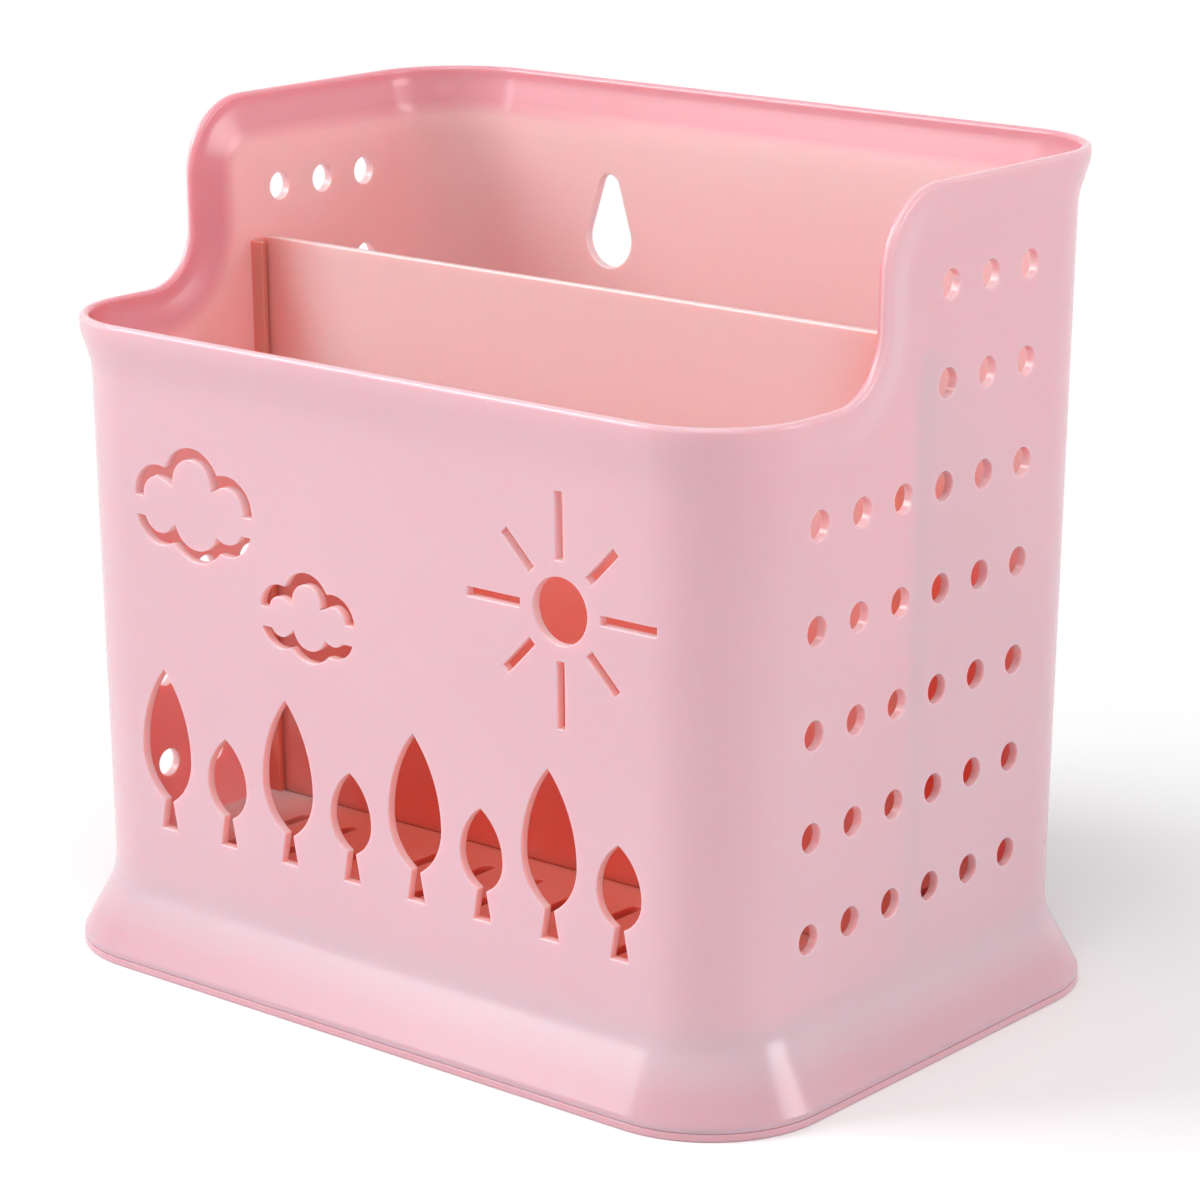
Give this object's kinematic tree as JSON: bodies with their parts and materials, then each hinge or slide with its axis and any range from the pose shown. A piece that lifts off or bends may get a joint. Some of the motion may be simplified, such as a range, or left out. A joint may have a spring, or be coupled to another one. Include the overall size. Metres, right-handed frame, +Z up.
{
  "type": "chopstick holder",
  "caption": "Free-standing or wall-hung plastic cutlery holder with a stepped rim, a lift-out divider, perforated walls, cut-out trees, sun and clouds, and a drip tray below.",
  "frame": {"origin": "centre of the footprint on the surface that the drip tray stands on", "axes": "+Z up, -Y towards the low front wall with the cut-outs, +Y towards the tall back wall, X across the width"},
  "size_m": [0.174, 0.124, 0.161],
  "materials": {
    "body_plastic": "glossy, slightly translucent",
    "divider_plastic": "glossy, slightly translucent",
    "tray_plastic": "glossy, slightly translucent"
  },
  "bodies": {
    "tray": {"drip_tray": "tray_plastic"},
    "body": {"holder_body": "body_plastic"},
    "partition": {"divider": "divider_plastic"}
  },
  "joints": [
    {"name": "body_lift", "type": "slide", "parent": "tray", "child": "body", "axis": [0, 0, 1], "range_m": [0, 0.03]},
    {"name": "divider_lift", "type": "slide", "parent": "body", "child": "partition", "axis": [0, 0, 1], "range_m": [0, 0.13]}
  ]
}
